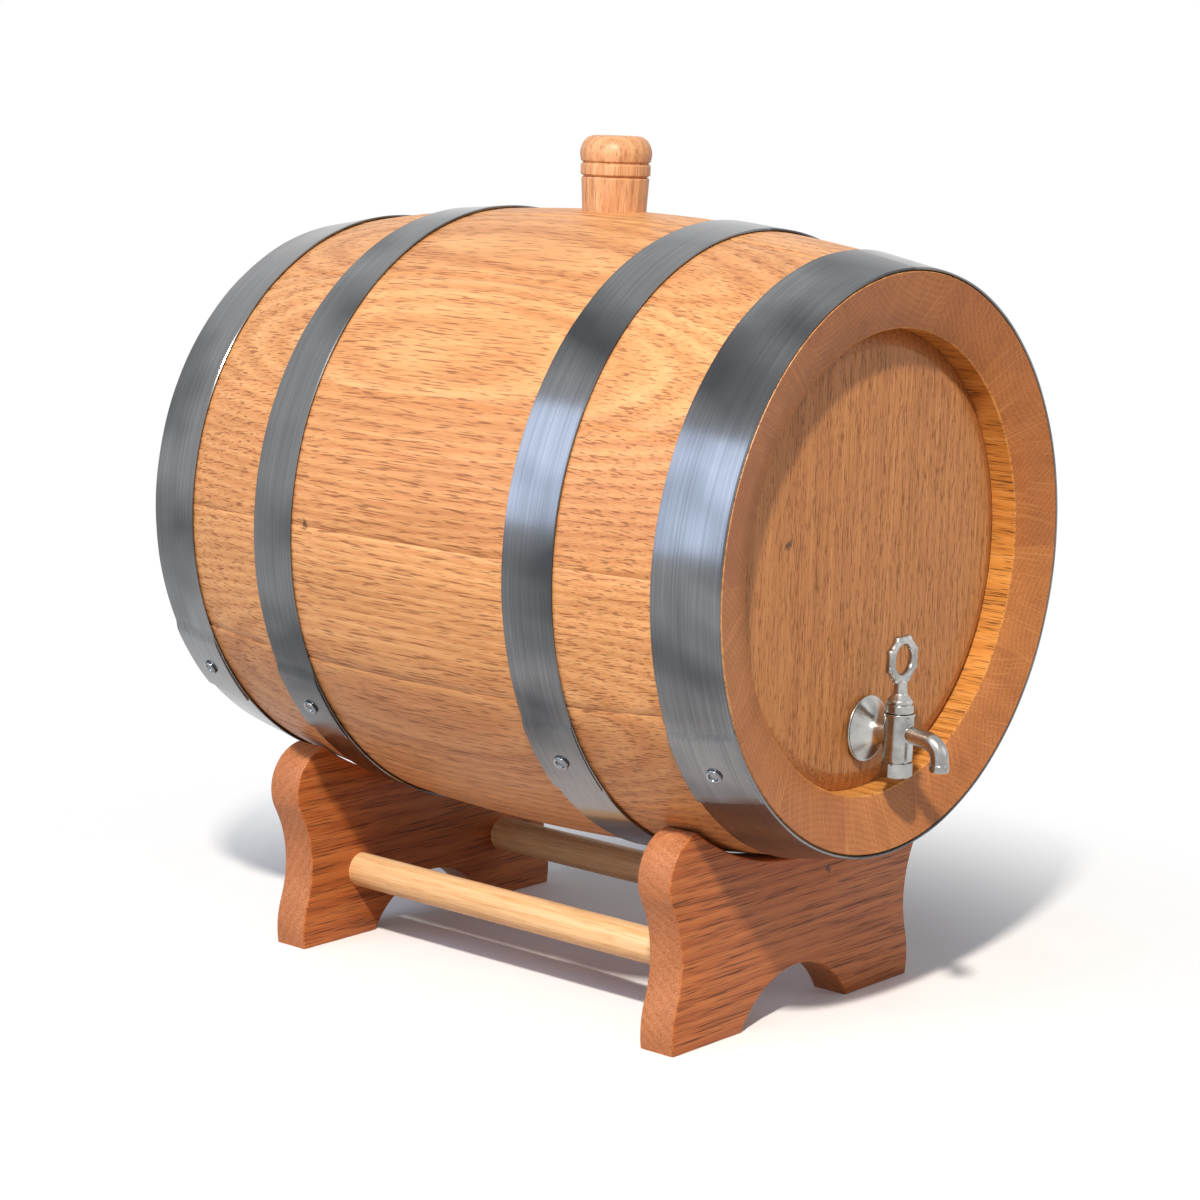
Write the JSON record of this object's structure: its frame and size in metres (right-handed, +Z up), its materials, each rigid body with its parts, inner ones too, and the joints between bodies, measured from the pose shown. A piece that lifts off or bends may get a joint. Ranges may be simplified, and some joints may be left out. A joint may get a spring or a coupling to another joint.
{
  "type": "cask drink dispenser",
  "caption": "Coopered oak cask lying on a wooden cradle, with steel hoops, a bung on top and a small plug tap with a ring key in its front head.",
  "frame": {"origin": "on the ground under the middle of the whole dispenser, tap included", "axes": "+Z up, the cask lies along Y with its tap head at -Y, +X to the right hand seen from the tap"},
  "size_m": [0.28, 0.3536, 0.3788],
  "materials": {
    "cask_oak": "oiled oak, open pores",
    "bung_oak": "turned oak",
    "cradle_oak": "planed oak",
    "dowel_beech": "turned pale hardwood",
    "hoop_steel": "rolled strip",
    "rivet_steel": "plated",
    "nickel_plate": "nickel plated casting",
    "seal_rubber": "soft washer"
  },
  "bodies": {
    "stand": {"front_cradle_board": "cradle_oak", "rear_cradle_board": "cradle_oak", "left_dowel": "dowel_beech", "right_dowel": "dowel_beech"},
    "cask": {"bung_stave": "cask_oak", "stave_02": "cask_oak", "stave_03": "cask_oak", "stave_04": "cask_oak", "stave_05": "cask_oak", "stave_06": "cask_oak", "stave_07": "cask_oak", "stave_08": "cask_oak", "stave_09": "cask_oak", "stave_10": "cask_oak", "stave_11": "cask_oak", "stave_12": "cask_oak", "stave_13": "cask_oak", "stave_14": "cask_oak", "front_head": "cask_oak", "rear_head": "cask_oak", "front_end_hoop": "hoop_steel", "front_quarter_hoop": "hoop_steel", "rear_quarter_hoop": "hoop_steel", "rear_end_hoop": "hoop_steel", "hoop_rivets": "rivet_steel", "tap_body": "nickel_plate", "tap_seal": "seal_rubber"},
    "bung": {"bung": "bung_oak"},
    "tap_key": {"tap_key": "nickel_plate", "key_washer": "nickel_plate", "key_nut": "nickel_plate"}
  },
  "joints": [
    {"name": "cask_lift", "type": "slide", "parent": "stand", "child": "cask", "axis": [0, 0, 1], "range_m": [0, 0.06]},
    {"name": "bung_lift", "type": "slide", "parent": "cask", "child": "bung", "axis": [0, 0, 1], "range_m": [0, 0.05]},
    {"name": "tap_key_turn", "type": "hinge", "parent": "cask", "child": "tap_key", "pos_m": [0, -0.15122, 0.134], "axis": [0, 0, 1], "range_deg": [0, 90]}
  ]
}
